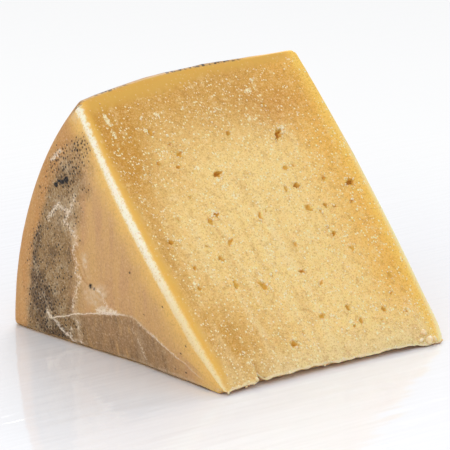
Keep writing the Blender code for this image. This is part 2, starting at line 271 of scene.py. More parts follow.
# The eyes are small ragged holes, left between the curds when they were pressed. Each of these is
# (X, distance from the hub, radius), on the upper cut; those of the lower cut are placed by chance.
UPPER_EYES = (
    (21.7, 80.9, 1.7), (21.9, 92.1, 0.9), (-25.1, 89.4, 1.1), (-18.5, 80.4, 1.2), (-27.6, 78.6, 0.8),
    (-21.2, 76.2, 0.9), (-8.2, 71.5, 1.5), (3.4, 84.5, 1.0), (17.8, 69.1, 1.2), (18.7, 62.4, 1.2),
    (14.2, 62.0, 0.9), (30.3, 62.9, 0.9), (39.4, 59.9, 1.5), (19.0, 54.1, 1.4), (25.4, 53.9, 0.9),
    (-19.6, 56.2, 1.2), (-16.5, 58.1, 1.1), (-0.7, 54.6, 1.1), (-37.4, 52.1, 1.0), (-16.4, 48.2, 1.2),
    (-22.7, 43.4, 1.1), (-33.7, 42.4, 0.8), (7.0, 43.0, 0.9), (23.2, 43.9, 1.0), (-22.1, 34.4, 1.3),
    (-35.6, 35.6, 0.9), (-12.2, 31.7, 1.5), (27.2, 37.7, 1.0), (4.4, 34.0, 0.9), (9.1, 28.7, 0.9),
    (36.2, 25.8, 1.1), (3.0, 18.0, 1.2), (14.2, 18.9, 1.1), (16.4, 13.7, 1.0), (27.2, 15.7, 1.0),
    (-11.9, 11.2, 1.4),
    (-20.2, 84.4, 0.6), (21.4, 69.5, 0.7), (22.6, 52.4, 0.6), (28.9, 52.9, 0.6), (36.0, 53.3, 0.7),
    (2.5, 56.2, 0.6), (-30.6, 59.1, 0.7), (-22.8, 65.5, 0.6), (-25.6, 48.5, 0.6), (22.3, 46.2, 0.5),
    (32.6, 46.6, 0.6), (-7.5, 35.0, 0.7), (13.2, 12.6, 0.6), (24.5, 12.6, 0.6), (35.2, 13.3, 0.7),
    (-6.7, 13.9, 0.6), (33.0, 20.4, 0.7),
)
HIDDEN_EYES = 26
HIDDEN_EYE_RADIUS = (0.6, 1.5)
EYE_BORDER = 9.0
EYE_GAP = 1.0
EYE_SEED = 7
EYE_RAGGED = 0.65
EYE_RAGGED_SIZE = 0.9


def scatter_eyes(count, radii, draw):
    """So many eyes placed by chance, clear of each other and of the cut's borders."""
    places = []
    half = WHEEL_HALF - EYE_BORDER
    last_reach = WHEEL_RADIUS - 2 * EYE_BORDER
    while len(places) < count:
        x = draw.uniform(-half, half)
        reach = draw.uniform(2 * EYE_BORDER, last_reach)
        radius = draw.uniform(*radii)
        if all(np.hypot(x - px, reach - pr) > radius + size + EYE_GAP for px, pr, size in places):
            places.append((x, reach, radius))
    return places


def sink_eyes(x, reach, eyes, draw):
    """Depth of the eyes under a cut, and how crumbled their rims are, at each place of the cut.

    An eye is a round with soft corners, stretched and turned by chance, whose edge noise makes ragged. It
    is deepest in the middle, with steep sides. Some have a slit running out of them, which is shallower."""
    depth = np.zeros(len(x))
    rim = np.zeros(len(x))
    for eye_x, eye_reach, radius in eyes:
        turn = draw.uniform(0, np.pi)
        stretch = draw.uniform(1.0, 1.4)
        slit = draw.uniform(-1.6, 0.5)
        steep = draw.uniform(0.45, 1.05)
        near = np.flatnonzero((abs(x - eye_x) < 4 * radius) & (abs(reach - eye_reach) < 4 * radius))
        dx, dr = x[near] - eye_x, reach[near] - eye_reach
        along = dx * np.cos(turn) + dr * np.sin(turn)
        aside = dr * np.cos(turn) - dx * np.sin(turn)
        place = np.stack((dx + 50 * eye_x, dr + 50 * eye_reach, 0 * dx), axis=1)
        ragged = EYE_RAGGED * layered_noise(place, EYE_RAGGED_SIZE, 2, seed=3)
        away = (abs(along / stretch) ** 1.4 + abs(aside * stretch) ** 1.4) ** (1 / 1.4) / radius + ragged
        hole = steep * radius * np.clip((1 - away) / 0.5, 0, 1) ** 0.8
        reach_out = np.clip(along / radius, 0.0, max(slit, 0.0) + 1.0)
        off_slit = np.hypot(along / radius - reach_out, aside / radius) / 0.28 + ragged
        crack = 0.45 * radius * np.clip(1.4 - off_slit, 0, 1) * (slit > 0)
        depth[near] = np.maximum(depth[near], np.maximum(hole, crack))
        rim[near] = np.maximum(rim[near], np.exp(-((away - 1.25) / 0.3) ** 2))
    return depth, rim


lines = (grid_lines(-WHEEL_HALF, WHEEL_HALF), grid_lines(TIP_LOSS, WHEEL_RADIUS), grid_lines(0.0, ARC))
corners, quads = box_skin(lines)
mesh = bpy.data.meshes.new("sheep_cheese")
mesh.from_pydata(corners, [], quads)
draw = random.Random(EYE_SEED)
lower_eyes = scatter_eyes(HIDDEN_EYES, HIDDEN_EYE_RADIUS, draw)


def eye_nearby(mesh, side, eyes, room):
    """Picks the faces of one cut of the box that lie within an eye's radius and some room."""
    middle = read_places(mesh, "polygons", "center")
    place = wedge_places(middle)
    reach = np.hypot(place[:, 1] - HUB_Y, place[:, 2])
    picked = np.zeros(len(middle), dtype=bool)
    for x, eye_reach, radius in eyes:
        picked |= np.hypot(place[:, 0] - x, reach - eye_reach) < 1.6 * radius + room
    return picked & (abs(middle[:, 2] - side) < ON_PLANE)


middle = read_places(mesh, "polygons", "center")
refine(mesh, (abs(middle[:, 2] - ARC) < ON_PLANE) | (abs(middle[:, 0] + WHEEL_HALF) < ON_PLANE))
refine(mesh, eye_nearby(mesh, ARC, UPPER_EYES, 0.5) | eye_nearby(mesh, 0.0, lower_eyes, 0.6))
box = read_places(mesh)
place = wedge_places(box)
mesh.vertices.foreach_set("co", (place * MM).ravel())
mesh.update()
normal = read_places(mesh, "vertex_normals", "vector")


CUT_WAVE = 0.30
DRAG_HEIGHT = 0.12
DRAG_PITCH = 8.5
GRAIN_HEIGHT = 0.06
RIM_CRUMB = 0.30
CRUMB_HEIGHT = 0.22
CRACK_DEPTH = 0.95
CRACK_X = -30.4
CRACK_END = 10.0
CRACK_WIDTH = 2.6
DENT_HEIGHT = 0.35
WRINKLE_HEIGHT = 0.10
BLOOM_HEIGHT = 0.14
CREASE_HEIGHT = 0.40
GOLD_BAND = 4.6
RIDGES = (
    ((-17.3, 53.0), (-17.0, 47.0), (-16.7, 38.0), (-17.1, 32.0), (-15.8, 25.0)),
    ((25.4, 84.0), (26.2, 79.0), (24.9, 72.0)),
)
STREAK_SIZE = (4.2, 30.0)


def line_share(across, along, points, half_width):
    """How near each place is to a bent line: 1 on it, and 0 at its half width or beyond."""
    nearest = np.full(len(across), np.inf)
    for start, end in zip(points, points[1:]):
        run = np.array(end) - np.array(start)
        share = np.clip(((across - start[0]) * run[0] + (along - start[1]) * run[1]) / (run @ run), 0, 1)
        away = np.hypot(across - start[0] - share * run[0], along - start[1] - share * run[1])
        nearest = np.minimum(nearest, away)
    return np.clip(1 - nearest / half_width, 0, 1)


def patch_share(across, along, patches, wobble):
    """Soft ovals, each (across, along, half across, half along, strength), as one share of each place."""
    total = np.zeros(len(across))
    for middle, height, half_across, half_along, strength in patches:
        away = np.hypot((across - middle) / half_across, (along - height) / half_along) + wobble
        total = np.maximum(total, strength * smooth_step(1.3, 0.5, away))
    return total


x, y, z = place[:, 0], place[:, 1] - HUB_Y, place[:, 2]
reach = np.hypot(y, z)
radial = np.stack((0 * x, y / reach, z / reach), axis=1)
faces_up = smooth_step(0.75, 0.97, normal @ CUT_NORMAL)
faces_down = smooth_step(0.75, 0.97, -normal[:, 2])
faces_side = smooth_step(0.6, 0.95, abs(normal[:, 0]))
facing_out = np.sum(normal * radial, axis=1)
faces_rim = smooth_step(0.6, 0.95, facing_out)

# How far each place is inside the cut from its borders, and how far outside them on the rind.
rounded = round_borders(box)
from_side = WHEEL_HALF - abs(rounded[:, 0])
from_rim = WHEEL_RADIUS - rounded[:, 1]
under_upper = ARC - rounded[:, 2]
upper_half = rounded[:, 2] > ARC / 2
from_cut = np.minimum(rounded[:, 2], under_upper)
fine_wobble = layered_noise(place, 1.4, 2, seed=8)
wobble = layered_noise(place, 5.0, 3, seed=10)
wide_wobble = layered_noise(place, 17.0, 2, seed=16)
inside = np.minimum(from_side, from_rim) - from_cut
rind = smooth_step(0.5, -0.3, inside + 0.15 * fine_wobble)

# The paste: dry and dark towards the rim, golden and clear where the rind let it dry, pale in the middle.
# Loose crumbs lie in patches; each is (X, distance from the hub, half width, half length, strength).
CRUMB_PATCHES = (
    (-38.5, 96.0, 0.9, 2.4, 1.0), (-38.4, 91.0, 0.8, 2.2, 0.8), (-41.0, 84.4, 0.7, 1.4, 0.6),
    (-19.6, 95.0, 1.3, 1.0, 0.9), (-2.3, 102.5, 1.6, 0.9, 0.7), (22.5, 101.0, 1.0, 0.9, 1.0),
    (19.2, 97.6, 1.8, 0.9, 0.9), (24.4, 82.0, 1.0, 1.6, 0.9), (-26.3, 90.3, 0.9, 0.7, 1.0),
    (-14.3, 75.0, 1.0, 1.0, 0.9), (-9.3, 69.4, 0.9, 0.8, 1.0), (-6.0, 63.3, 1.4, 1.6, 0.7),
    (-8.8, 66.8, 0.8, 0.8, 0.8), (6.5, 55.7, 1.0, 0.9, 0.7), (-39.0, 61.7, 0.8, 0.9, 0.6),
    (-38.0, 53.7, 0.7, 0.9, 0.6), (-36.5, 37.4, 0.8, 1.0, 0.9), (-31.5, 8.8, 0.9, 0.7, 0.9),
    (-31.5, 3.2, 0.9, 1.0, 0.9), (-20.8, 9.5, 0.7, 0.6, 0.9), (12.5, 14.2, 1.1, 0.9, 1.0),
    (22.4, 35.7, 0.8, 0.8, 0.8), (-4.0, 96.0, 6.0, 4.0, 0.35), (2.0, 92.0, 5.0, 3.0, 0.4),
    (-17.3, 59.2, 0.8, 1.2, 0.8), (38.0, 13.0, 4.0, 5.0, 0.35), (0.0, 50.2, 0.9, 0.8, 0.6),
    (16.0, 88.0, 3.0, 1.5, 0.5), (-33.0, 75.0, 4.0, 6.0, 0.35), (27.0, 77.0, 1.2, 2.0, 0.5),
)
rimward = smooth_step(72.0, 100.0, reach + 3.0 * wide_wobble) * faces_up
sideward = smooth_step(-24.0, -42.0, x + 3.0 * wide_wobble) * (1 - 0.4 * smooth_step(60.0, 20.0, reach))
far_side = smooth_step(16.0, 42.0, x + 3.0 * wide_wobble) * smooth_step(2.0, 26.0, reach)
low_left = np.exp(-(((x + 30.0) / 17.0) ** 2 + ((reach - 16.0) / 17.0) ** 2))
top_left = np.exp(-(((x + 37.0) / 9.0) ** 2 + ((reach - 84.0) / 16.0) ** 2))
burnt = np.exp(-(((x - 28.0) / 15.0) ** 2 + ((reach - 92.0 + 3.0 * wide_wobble) / 9.0) ** 2)) * faces_up
mid_left = np.exp(-(((x + 23.0) / 9.0) ** 2 + ((reach - 72.0) / 9.0) ** 2))
band = GOLD_BAND + 0.5 * wobble + 1.2 * smooth_step(80.0, 45.0, reach) * (x < 0)
rim_share = 0.8 - 0.28 * smooth_step(12.0, -8.0, x + 4.0 * wobble)
gold = smooth_step(1.0, 0.35, np.minimum(from_side, rim_share * from_rim) / band) * (1 - rind)
gold *= 1 - 0.7 * smooth_step(9.0, 3.0, reach) * (x < 0)
streak_place = np.stack((x / STREAK_SIZE[0], reach / STREAK_SIZE[1], 0 * x), axis=1)
streak_reach = smooth_step(78.0, 55.0, reach) * smooth_step(20.0, 0.0, x)
streak = layered_noise(streak_place, 1.0, 3, seed=41) * streak_reach
ridge = np.maximum(*(line_share(x + 0.25 * wobble, reach, points, 1.3) for points in RIDGES))
crumb = patch_share(x, reach, CRUMB_PATCHES, 0.5 * fine_wobble + 0.25 * wobble) * faces_up
past_edge = reach - break_reach(x, WEDGE_ANGLE) + 0.35 * fine_wobble
thin_edge = smooth_step(0.9, 0.2, past_edge) * smooth_step(-0.2, 0.4, normal @ CUT_NORMAL)

shape_draw = random.Random(EYE_SEED + 1)
upper_depth, upper_rim = sink_eyes(x, reach, UPPER_EYES, shape_draw)
lower_depth, lower_rim = sink_eyes(x, reach, lower_eyes, shape_draw)
upper_depth, upper_rim = upper_depth * faces_up, upper_rim * faces_up
lower_depth, lower_rim = lower_depth * faces_down, lower_rim * faces_down

wave = CUT_WAVE * lattice_noise(place, 24.0)
drag_turn = x / DRAG_PITCH + 0.4 * lattice_noise(place, 26.0, seed=2)
drag = DRAG_HEIGHT * np.sin(2 * np.pi * drag_turn) * smooth_step(64.0, 30.0, reach)
grain = GRAIN_HEIGHT * layered_noise(place, 2.0, 3, seed=4) * (1 - 0.7 * gold)
lumps = np.maximum(0, 0.4 + lattice_noise(place, 0.9, seed=6))
# At the crack the cut steps down towards +X and rises again; further on, that low side is also painted
# darker, as painted shade.
past_crack = x - CRACK_X + 0.25 * wobble
crack = smooth_step(-0.25, 0.35, past_crack) * np.exp(-np.maximum(past_crack, 0.0) / CRACK_WIDTH)
crack *= smooth_step(CRACK_END, 4.0, reach)
relief = wave + drag + grain + RIM_CRUMB * upper_rim * lumps + CRUMB_HEIGHT * crumb * lumps
relief += 0.2 * ridge + 0.05 * streak + 0.15 * thin_edge * lumps
relief = faces_up * (relief - CRACK_DEPTH * crack) - upper_depth - lower_depth

# The rind. A place on a flat face is (Y from the hub, height). Lines also have a half width, and most a
# strength; spots have a radius. The mould's outer and inner borders are given as (height, distance).
MOULD_OUTER = ((12.0, 96.0), (30.0, 97.5), (45.0, 98.5), (57.0, 102.0), (64.0, 99.0), (70.0, 93.0))
MOULD_INNER = (
    (0.0, 68.0), (14.0, 67.5), (24.0, 68.5), (36.0, 69.0),
    (46.0, 66.0), (54.0, 62.5), (60.0, 60.0), (74.0, 58.0),
)
DENSE_PATCHES = (
    (68.0, 66.0, 7.5, 7.0, 1.0), (75.0, 56.0, 8.0, 6.0, 0.8), (91.0, 36.0, 4.5, 8.0, 1.0),
    (92.0, 22.0, 4.0, 12.0, 0.9), (87.0, 12.0, 8.0, 8.0, 1.0), (83.0, 3.0, 10.0, 4.0, 0.9),
)
SMUDGES = ((79.5, 49.9, 1.2, 0.9, 1.0), (76.8, 51.2, 2.6, 0.55, 1.0), (73.8, 52.5, 1.2, 1.1, 1.0))
BLOOM_PATCHES = (
    (74.8, 57.0, 3.6, 2.2, 0.40), (75.0, 44.5, 4.6, 3.0, 0.45), (70.0, 46.0, 2.2, 5.0, 0.45),
    (76.0, 39.5, 5.0, 4.0, 0.25), (70.0, 37.0, 2.2, 4.6, 0.6), (64.0, 29.0, 1.3, 2.6, 0.8),
    (82.8, 8.4, 1.7, 1.2, 1.0), (56.6, 20.8, 3.6, 2.4, 0.75), (60.0, 18.0, 5.5, 3.2, 0.60),
    (53.5, 15.6, 5.0, 1.0, 0.95), (64.5, 24.0, 2.6, 6.0, 0.22), (69.0, 7.5, 1.3, 5.5, 0.45),
    (40.0, 6.0, 2.0, 6.0, 0.25), (69.8, 73.8, 2.4, 3.0, 0.6), (28.0, 1.2, 22.0, 0.9, 0.45),
    (70.0, 1.5, 4.0, 0.8, 0.5),
)
BLOOM_LINES = (
    (((83.3, 38.6), (80.8, 41.0), (78.4, 43.7), (75.1, 43.1), (71.5, 42.8)), 1.3, 0.75),
    (((69.6, 48.0), (71.5, 42.8), (75.1, 39.0), (72.7, 38.3), (70.0, 36.6), (68.4, 35.3)), 1.3, 0.6),
    (((68.0, 33.5), (70.0, 31.9), (69.6, 29.0), (67.7, 27.0), (68.9, 24.1)), 1.2, 0.6),
    (((68.9, 24.1), (66.2, 22.7), (68.1, 19.9), (70.7, 11.4)), 1.2, 0.6),
    (((61.2, 21.4), (56.7, 20.6), (54.8, 19.7), (54.1, 17.0), (51.9, 16.0)), 0.8, 0.55),
    (((83.5, 8.8), (82.3, 7.6), (79.4, 6.4), (77.5, 4.3), (74.6, 2.6), (72.0, 0.5)), 1.0, 1.0),
    (((72.7, 5.9), (73.4, 3.5), (72.6, 1.2)), 0.8, 0.75), (((69.1, 8.5), (69.1, 1.0)), 1.0, 0.6),
    (((81.9, 57.2), (79.5, 58.9), (77.1, 61.0)), 1.3, 0.75), (((58.0, 14.6), (49.0, 15.6)), 1.3, 0.9),
    (((39.0, 14.6), (30.0, 11.2), (21.0, 7.4)), 0.6, 0.6), (((42.0, 12.0), (38.0, 3.0)), 1.0, 0.45),
)
GOLD_LINES = (
    (((71.6, 31.4), (69.5, 28.8), (67.4, 26.3), (65.1, 23.0), (63.2, 22.0)), 0.6),
    (((68.6, 32.4), (67.4, 30.7), (65.9, 27.4), (64.3, 25.3), (63.8, 24.0)), 0.5),
)
SPOTS = (
    (61.3, 21.5, 0.75), (59.6, 21.1, 0.4), (42.2, 29.8, 0.32), (27.2, 22.0, 0.25), (17.2, 11.9, 0.25),
    (19.6, 9.2, 0.25), (88.2, 47.4, 0.45), (35.8, 18.0, 0.2), (23.1, 3.5, 0.3), (18.4, 3.4, 0.3),
)

flat_left = faces_side * (x < 0)
flat_right = faces_side * (x > 0)
below_cut = reach * np.sin(WEDGE_ANGLE - np.arctan2(z, y))
line_y = y + 0.35 * wobble + 0.25 * fine_wobble
line_z = z + 0.35 * lattice_noise(place, 4.0, seed=20) + 0.15 * lattice_noise(place, 1.1, seed=26)
above_crease = line_z - crease_height(line_y)
crease_run = smooth_step(9.0, 14.0, y) * smooth_step(84.5, 82.0, y)
crease_thick = 0.45 + 0.5 * np.clip(lattice_noise(place, 6.0, seed=21) + 0.4, 0, 1)
crease = np.clip(1 - abs(above_crease) / crease_thick, 0, 1) * crease_run
crease_patches = lattice_noise(place, 9.0, seed=22) + 0.02 * (y - 42.0)
crease_white = crease_run * (0.2 + 0.65 * smooth_step(-0.2, 0.5, crease_patches))
# Under the crease the face tucks in towards the ground, and the rind there is painted darker, as painted
# shade.
below_crease = smooth_step(1.2, -1.8, above_crease) * smooth_step(12.0, 34.0, y)
below_crease *= 1 - 0.5 * smooth_step(66.0, 74.0, y)
streaks = np.zeros(len(x))
for points, half_width, strength in BLOOM_LINES:
    ragged_width = half_width * (1.3 + 0.6 * fine_wobble)
    streaks = np.maximum(streaks, strength * line_share(line_y, line_z, points, ragged_width))
bloom_left = patch_share(y, z, BLOOM_PATCHES, 0.45 * wobble + 0.3 * fine_wobble)
bloom_left = np.maximum(bloom_left, 0.5 * crease) * flat_left
far_bloom = smooth_step(0.35, 0.9, lattice_noise(place, 11.0, seed=23) + 0.3 * wobble) * 0.6
bloom = np.maximum(bloom_left, far_bloom * np.maximum(flat_right, faces_rim))
gold_line = np.maximum(*(line_share(line_y, line_z, points, half) for points, half in GOLD_LINES))

mould_outer = np.interp(z, *np.transpose(MOULD_OUTER))
mould_inner = np.interp(z, *np.transpose(MOULD_INNER))
mould = smooth_step(-4.0, 6.0, y + 3.0 * wobble - mould_inner)
mould *= smooth_step(2.6, -3.4, reach + 2.0 * wobble - mould_outer)
dense = patch_share(y, z, DENSE_PATCHES, 0.35 * wobble) * mould
far_mould = smooth_step(-0.35, 0.25, lattice_noise(place, 26.0, seed=24) + 0.25 * wobble)
far_mould *= smooth_step(99.5, 95.0, reach + 2.0 * wobble)
far_mould *= smooth_step(58.0, 74.0, reach + 6.0 * wide_wobble)
rim_mould = smooth_step(-0.55, 0.15, lattice_noise(place, 20.0, seed=12) + 0.2 * wobble)
rim_mould *= smooth_step(39.0, 29.0, x + 6.0 * wide_wobble + 3.0 * wobble)
mould = mould * flat_left + far_mould * flat_right + rim_mould * faces_rim
tint = mould * flat_left * (1 - 0.6 * smooth_step(48.0, 62.0, z + 2.0 * wobble))
tint *= 1 - 0.4 * smooth_step(12.0, 5.0, below_cut + 2.0 * wobble)
tint = np.maximum(tint, mould * (1 - flat_left))
dense = dense * flat_left + 0.6 * far_mould * flat_right + 0.75 * rim_mould * faces_rim
smudge = patch_share(line_y, line_z, SMUDGES, 0.35 * fine_wobble + 0.3 * wobble) * flat_left
shoulder = smooth_step(94.5, 97.5, reach + 0.8 * wobble) * np.maximum(faces_side, 1 - faces_rim) * rind

# Round the upper cut, the border between rind and paste is a cream strip with grit in it and gold beside it;
# its cream is partly the worn border's own and partly a painted highlight where the border rounds over.
strip_place = np.where(from_cut > from_side, -from_cut, from_side)
strip_width = 0.75 + 0.25 * smooth_step(88.0, 70.0, reach)
strip_wobble = (0.25 + 0.5 * smooth_step(82.0, 96.0, reach)) * fine_wobble
strip = smooth_step(-4.8, -1.0, strip_place / strip_width + strip_wobble)
strip *= smooth_step(2.1, 0.2, strip_place + strip_wobble)
strip *= upper_half * smooth_step(0.4, 1.8, from_rim + fine_wobble) * (x < 0)
gold_side = smooth_step(12.0, 1.5, below_cut + 1.5 * wobble) ** 1.2 * upper_half * faces_side
gold_side *= smooth_step(0.5, 3.0, from_rim) * (1 - 0.5 * mould)
gold_side = np.maximum(gold_side, 0.75 * smooth_step(17.0, 8.0, reach) * flat_left)
# Painted light: the border of the upper cut at +X is painted whiter, as the back light's glow through that
# thin corner.
painted_edge_glow = smooth_step(3.2, 0.2, from_side) * (x > 0) * smooth_step(105.0, 40.0, reach)
painted_edge_glow *= smooth_step(3.5, 1.0, under_upper)
rim_line = smooth_step(0.10, 0.45, facing_out) * (from_rim < 2.0) * upper_half
rim_line *= smooth_step(26.0, 18.0, x) * smooth_step(5.0, 1.5, under_upper + 0.6 * wobble)

dents = DENT_HEIGHT * layered_noise(place, 26.0, 2, seed=14)
dents += WRINKLE_HEIGHT * lattice_noise(place, 5.0, seed=15)
ridges = CREASE_HEIGHT * crease * crease_white * flat_left + 0.25 * streaks * flat_left
ridges += BLOOM_HEIGHT * bloom * (1 + fine_wobble)
relief += np.maximum(faces_side, faces_rim) * (dents + ridges)
relief += 0.12 * strip * layered_noise(place, 1.0, 2, seed=25)
place = place + normal * relief[:, None]
place[:, 2] = np.maximum(place[:, 2], 0.0)
mesh.vertices.foreach_set("co", (place * MM).ravel())
mesh.shade_smooth()
mesh.update()

dry = 0.85 * rimward + 0.7 * sideward * (1 - rimward)
dry = np.clip(dry + 0.62 * low_left + 0.5 * top_left + 0.3 * mid_left, 0, 1)
turn = np.arctan2(z, y) * reach
on_rim = faces_rim > 0.5
cloth = np.stack((np.where(on_rim, x, y), np.where(on_rim, turn, z), 0 * x), axis=1)
spots = np.zeros(len(x))
for spot_y, spot_z, radius in SPOTS:
    away = np.hypot(y - spot_y, z - spot_z) / radius + 0.3 * fine_wobble
    spots = np.maximum(spots, smooth_step(1.4, 0.7, away))

tip = smooth_step(15.0, 1.0, reach) * (0.45 + 0.55 * smooth_step(-32.0, -20.0, x + 2.0 * wobble))
shares = dict(
    # of the paste
    gold=gold, dry=dry, far_side=far_side, burnt=burnt, streak=streak, ridge=ridge, crumb=crumb, tip=tip,
    thin_edge=thin_edge, painted_edge_glow=painted_edge_glow, crack=crack * faces_up,
    # painted_glow: a band along the +X side, painted in as the glow of the back light shining through the
    # paste
    halo=smooth_step(5.0, 1.0, from_side) * (x < 0), painted_glow=smooth_step(7.5, 2.0, from_side) * (x > 0),
    # undercut: the broken underside of the tip; the colour below paints light onto it
    undercut=smooth_step(0.1, -0.5, normal @ CUT_NORMAL) * smooth_step(12.0, 8.0, reach),
    eye=np.clip((upper_depth + lower_depth) / 1.2, 0, 1), eye_rim=np.maximum(upper_rim, lower_rim),
    # of the rind
    rind=rind, strip=strip, low_strip=smooth_step(60.0, 20.0, reach), bloom=bloom, mould=mould, tint=tint,
    dense=dense, smudge=smudge, shoulder=shoulder, gold_side=gold_side, rim_line=rim_line,
    over_crease=above_crease, crease_white=crease_white * flat_left, below_crease=below_crease * flat_left,
    threads=streaks * flat_left, gold_line=gold_line * flat_left, spots=spots * flat_left,
    # painted_foot_shadow: a dark line painted along the bottom of the rind, as the contact shadow at the
    # ground
    painted_foot_shadow=smooth_step(0.9, 0.4, z + 0.2 * fine_wobble) * (reach > 8.0),
)
for name, share in shares.items():
    mesh.attributes.new(name, "FLOAT", "POINT").data.foreach_set("value", share.astype(np.float32))
cloth_layer = mesh.attributes.new("cloth", "FLOAT_VECTOR", "POINT")
cloth_layer.data.foreach_set("vector", cloth.ravel().astype(np.float32))


# The shader parts that every finish below uses.
def paint(red, green, blue):
    """A colour as it is given, from 0 to 255, turned into the linear light that shaders take."""
    mixed = np.array((red, green, blue)) / 255
    light = np.where(mixed <= 0.04045, mixed / 12.92, ((mixed + 0.055) / 1.055) ** 2.4)
    return (*light, 1.0)


def put(tree, kind, inputs=(), **settings):
    """Adds a node, sets its options, and links or sets its inputs by name or number."""
    node = tree.nodes.new(kind)
    for name, value in settings.items():
        setattr(node, name, value)
    for name, value in dict(inputs).items():
        if isinstance(value, bpy.types.NodeSocket):
            tree.links.new(value, node.inputs[name])
        else:
            node.inputs[name].default_value = value
    return node


def maths(tree, operation, one, two=0.0, three=0.0):
    """One step of arithmetic on sockets or numbers."""
    return put(tree, "ShaderNodeMath", {0: one, 1: two, 2: three}, operation=operation).outputs[0]


def times(tree, one, two, plus=0.0):
    """One value times another, plus a third."""
    return maths(tree, "MULTIPLY_ADD", one, two, plus)


def minus(tree, one, two):
    """One value less another."""
    return maths(tree, "SUBTRACT", one, two)


def mix(tree, share, one, two):
    """Colour one turning into colour two as the share goes from 0 to 1."""
    return put(tree, "ShaderNodeMix", {0: share, 6: one, 7: two}, data_type="RGBA").outputs[2]


def coats(tree, colour, *layers):
    """A colour with others laid over it in turn, each given as (share, colour)."""
    for share, layer in layers:
        colour = mix(tree, share, colour, layer)
    return colour


def ramp(tree, value, low, high, bottom=0.0, top=1.0):
    """A value carried smoothly from low..high to bottom..top."""
    inputs = {"Value": value, "From Min": low, "From Max": high, "To Min": bottom, "To Max": top}
    return put(tree, "ShaderNodeMapRange", inputs, interpolation_type="SMOOTHSTEP").outputs[0]


def noise(tree, vector, scale, detail=2.0, roughness=0.5):
    """Noise from 0 to 1, with so many cells to the metre."""
    inputs = {"Vector": vector, "Scale": scale, "Detail": detail, "Roughness": roughness}
    return put(tree, "ShaderNodeTexNoise", inputs).outputs["Fac"]


def mapped(tree, vector, turn, stretch=(1, 1, 1)):
    """A place stretched along each axis, and then turned about each by its angle."""
    inputs = {"Vector": vector, "Rotation": turn, "Scale": stretch}
    return put(tree, "ShaderNodeMapping", inputs).outputs[0]


def new_group(name, outputs, **inputs):
    """A shader node group and its two end nodes; it puts out numbers, and takes inputs of the kinds given."""
    group = bpy.data.node_groups.new(name, "ShaderNodeTree")
    for title, kind in inputs.items():
        group.interface.new_socket(title, in_out="INPUT", socket_type="NodeSocket" + kind)
    for title in outputs:
        group.interface.new_socket(title, in_out="OUTPUT", socket_type="NodeSocketFloat")
    return group, group.nodes.new("NodeGroupInput"), group.nodes.new("NodeGroupOutput")


def new_finish(mesh, name, numbers):
    """Gives a mesh a new material, with these numbers on its surface shader, and returns tree and shader."""
    finish = bpy.data.materials.new(name)
    finish.use_nodes = True
    surface = finish.node_tree.nodes["Principled BSDF"]
    for socket, value in numbers.items():
        surface.inputs[socket].default_value = value
    mesh.materials.append(finish)
    return finish.node_tree, surface


def new_object(name, shape):
    """An object of that mesh, lamp or lens, put into the scene."""
    item = bpy.data.objects.new(name, shape)
    bpy.context.scene.collection.objects.link(item)
    return item


# Curd grain: pressed curds a millimetre or two across, fine grit, and bright specks of dried protein.
curd, curd_in, curd_out = new_group("curd_grain", ("Blotch", "Grit", "Speck", "Height"), Speckled="Float")
where = put(curd, "ShaderNodeTexCoord").outputs["Object"]
blotch = noise(curd, where, 420.0, 4.0, 0.65)
grit = noise(curd, where, 1900.0, 2.0, 0.65)
where_thick = noise(curd, where, 170.0, 2.0, 0.6)
crystals = put(curd, "ShaderNodeTexVoronoi", {"Vector": where, "Scale": 1150.0, "Randomness": 1.0})
chance = put(curd, "ShaderNodeSeparateColor", {0: crystals.outputs["Color"]})
crowd = times(curd, ramp(curd, where_thick, 0.44, 0.66), 0.36, 0.25)
crowd = times(curd, curd_in.outputs["Speckled"], 0.03, crowd)
size = times(curd, minus(curd, grit, 0.5), 0.55, times(curd, chance.outputs[1], 0.26, 0.17))
speck = ramp(curd, minus(curd, crystals.outputs["Distance"], size), 0.06, -0.06)
speck = times(curd, speck, maths(curd, "LESS_THAN", chance.outputs[0], crowd))
height = times(curd, speck, 0.45, grit)
for title, value in (("Blotch", blotch), ("Grit", grit), ("Speck", speck), ("Height", height)):
    curd.links.new(value, curd_out.inputs[title])

# Cloth marks: the press cloth left a mesh of tiny pits in the rind, and dark mould settled in them.
CLOTH_PITCH = 1.35
CLOTH_TURN = np.radians(38)
marks, marks_in, marks_out = new_group(
    "cloth_marks", ("Dot", "Weave", "Faint"), Vector="Vector", Thickness="Float"
)
turned = mapped(marks, marks_in.outputs["Vector"], (0, 0, CLOTH_TURN))
cell_inputs = {"Vector": turned, "Scale": 1 / CLOTH_PITCH, "Randomness": 0.7}
cells = put(marks, "ShaderNodeTexVoronoi", cell_inputs, voronoi_dimensions="2D")
chance = put(marks, "ShaderNodeSeparateColor", {0: cells.outputs["Color"]})
thickness = marks_in.outputs["Thickness"]
size = times(marks, chance.outputs[1], 0.16, times(marks, thickness, 0.12, 0.06))
round_dot = ramp(marks, minus(marks, cells.outputs["Distance"], size), 0.07, -0.07)
present = maths(marks, "LESS_THAN", chance.outputs[0], thickness)
dot_dark = times(marks, present, times(marks, chance.outputs[2], 0.4, 0.6))
weave = ramp(marks, cells.outputs["Distance"], 0.1, 0.5)
for title, value in (("Dot", times(marks, round_dot, dot_dark)), ("Weave", weave), ("Faint", round_dot)):
    marks.links.new(value, marks_out.inputs[title])

PASTE_PALE = paint(255, 219, 144)
PASTE_DRY = paint(212, 155, 62)
PASTE_FAR = paint(246, 190, 88)
PASTE_BURNT = paint(210, 144, 62)
PASTE_GOLD = paint(224, 176, 82)
PASTE_HALO = paint(240, 190, 92)
# Painted light: the glow of the back light through the +X side of the paste
PASTE_PAINTED_GLOW = paint(255, 208, 98)
